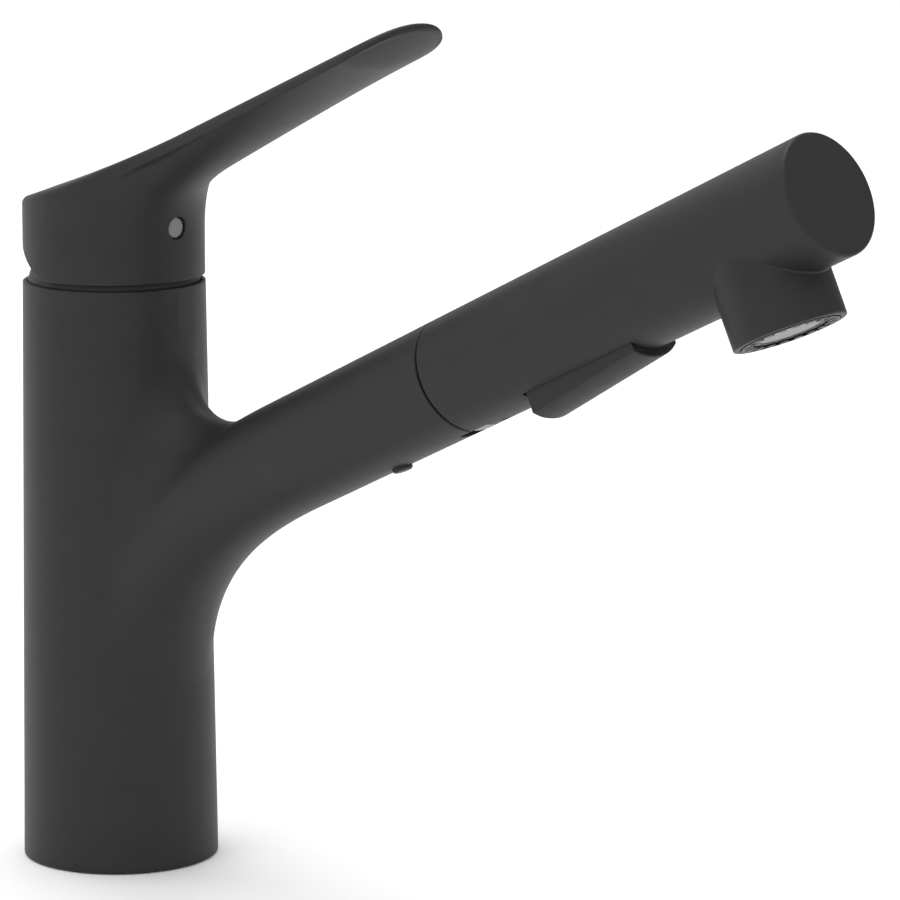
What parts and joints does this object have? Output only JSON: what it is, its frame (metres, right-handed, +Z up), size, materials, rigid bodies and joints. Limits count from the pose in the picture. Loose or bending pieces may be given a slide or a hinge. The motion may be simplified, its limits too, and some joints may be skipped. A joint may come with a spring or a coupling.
{
  "type": "kitchen mixer with pull-out spray",
  "caption": "Matte black single-lever kitchen mixer: tapered column, slanted round spout, pull-out spray head with a mode rocker and a short nozzle neck, lever handle on top.",
  "frame": {"origin": "Centre of the column on the deck plane, at the mouth of the fixing shank's thread.", "axes": "+Z up along the column, +X along the plan direction of the spout, +Y to the left seen from behind the column; the XZ plane is the mirror plane."},
  "size_m": [0.2595, 0.05, 0.2205],
  "materials": {
    "black_coat": "matte black coated cast brass",
    "black_shell": "matte black coated plastic shell",
    "black_plastic": "black moulded plastic",
    "dark_plastic": "dark grey moulded plastic",
    "light_plastic": "light grey moulded plastic",
    "index_grey": "mid grey moulded plastic",
    "white_plastic": "white acetal",
    "rubber": "black sealing rubber",
    "brass": "turned brass",
    "steel": "stainless steel",
    "black_steel": "black oxide steel",
    "ceramic": "ground ceramic",
    "hose_braid": "nylon braided hose"
  },
  "bodies": {
    "deck_base": {"base_flange": "brass", "deck_gasket": "rubber", "glide_ring": "white_plastic", "hub_o_ring": "rubber"},
    "faucet_body": {"column_body": "black_coat", "column_grub_screw": "steel", "cartridge_seat": "brass", "seat_o_rings": "rubber", "cartridge_base": "white_plastic", "cartridge_seals": "rubber", "fixed_disc": "ceramic", "cartridge_housing": "white_plastic", "cartridge_nut": "brass", "cover_ring": "black_coat", "spout_sleeve": "dark_plastic", "sleeve_screw": "black_plastic", "spray_hose": "hose_braid"},
    "mix_carrier": {"stem_carrier": "white_plastic", "stem_pin": "steel"},
    "handle": {"lever_handle": "black_coat", "cartridge_stem": "brass", "handle_set_screw": "steel", "index_plug": "index_grey"},
    "mix_disc": {"moving_disc": "ceramic", "disc_driver": "white_plastic"},
    "spray_head": {"spray_shell": "black_shell", "docking_key": "light_plastic", "docking_tail": "dark_plastic", "hose_ferrule": "brass", "hose_seal": "rubber", "spray_core": "white_plastic", "core_screw": "black_steel", "nozzle_o_ring": "rubber", "check_valve_body": "white_plastic", "check_valve_spring": "steel", "rocker_pin": "steel", "nozzle_ring": "black_plastic", "aerator_housing": "dark_plastic", "aerator_screen": "light_plastic"},
    "rocker": {"spray_rocker": "black_plastic"},
    "diverter": {"diverter_plunger": "white_plastic", "plunger_seal": "rubber"},
    "check_poppet": {"check_valve_poppet": "white_plastic"}
  },
  "joints": [
    {"name": "body_swivel", "type": "hinge", "parent": "deck_base", "child": "faucet_body", "pos_m": [0, 0, 0], "axis": [0, 0, 1], "range_deg": [-60, 60]},
    {"name": "handle_turn", "type": "hinge", "parent": "faucet_body", "child": "mix_carrier", "pos_m": [0, 0, 0.1442], "axis": [0, 0, 1], "range_deg": [-50, 50]},
    {"name": "handle_lift", "type": "hinge", "parent": "mix_carrier", "child": "handle", "pos_m": [0, 0, 0.1442], "axis": [0, -1, 0], "range_deg": [0, 22]},
    {"name": "disc_slide", "type": "slide", "parent": "mix_carrier", "child": "mix_disc", "axis": [1, 0, 0], "range_m": [0, 0.005]},
    {"name": "spray_pull_out", "type": "slide", "parent": "faucet_body", "child": "spray_head", "axis": [0.9018, 0, 0.4321], "range_m": [0, 0.5], "deforming": ["spray_hose"]},
    {"name": "spray_select", "type": "hinge", "parent": "spray_head", "child": "rocker", "pos_m": [0.15969, 0, 0.14808], "axis": [0, 1, 0], "range_deg": [0, 6]},
    {"name": "diverter_slide", "type": "slide", "parent": "spray_head", "child": "diverter", "axis": [0.4321, 0, -0.9018], "range_m": [0, 0.0016]},
    {"name": "check_valve_lift", "type": "slide", "parent": "spray_head", "child": "check_poppet", "axis": [0.9018, 0, 0.4321], "range_m": [0, 0.001], "stiffness_N_per_m": 150, "springref_m": -0.002, "deforming": ["check_valve_spring"]}
  ],
  "couplings": [
    {"joint": "disc_slide", "follows": "handle_lift", "m_per_rad": 0.01268},
    {"joint": "diverter_slide", "follows": "spray_select", "m_per_rad": 0.015}
  ]
}
